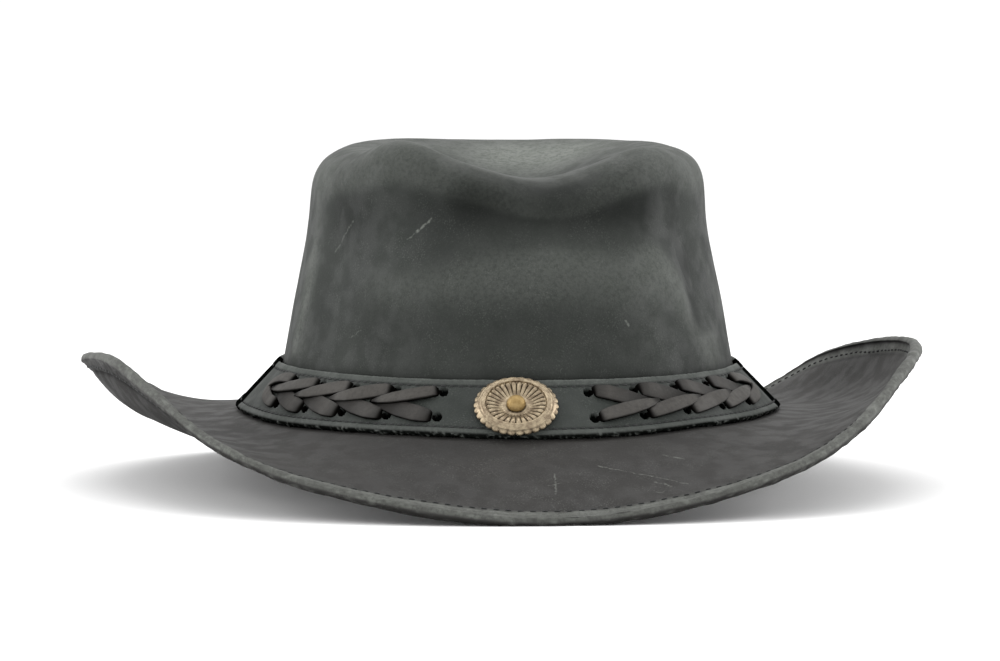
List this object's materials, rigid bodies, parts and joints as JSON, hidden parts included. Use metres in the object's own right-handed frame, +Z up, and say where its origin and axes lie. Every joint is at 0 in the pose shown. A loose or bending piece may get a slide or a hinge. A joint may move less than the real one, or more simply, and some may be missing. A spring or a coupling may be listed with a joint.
{
  "type": "bush hat",
  "caption": "Leather hat with a dished crown, a brim curled up at both sides, a band with laced leather thongs, and an oval fluted metal ornament at the front.",
  "frame": {"origin": "on the surface the hat rests on, under the middle of its brim", "axes": "+X to the wearer's left, which is the right of a viewer who faces the front; +Y towards the back of the hat; +Z up"},
  "size_m": [0.314, 0.351, 0.13],
  "materials": {
    "crown_leather": "oiled leather, dark grey green, rubbed lighter on its ridges",
    "brim_leather": "oiled leather, dark grey brown, with a turned and stitched rim",
    "band_leather": "smooth dark leather with stitched borders",
    "lacing_leather": "matt cut leather thong",
    "aged_brass": "aged cast brass, dark in its hollows",
    "stud_brass": "worn brass"
  },
  "bodies": {
    "root": {"crown": "crown_leather", "brim": "brim_leather", "band_front": "band_leather", "band_back": "band_leather", "lacing_left": "lacing_leather", "lacing_right": "lacing_leather", "concho": "aged_brass", "concho_stud": "stud_brass"}
  },
  "joints": []
}
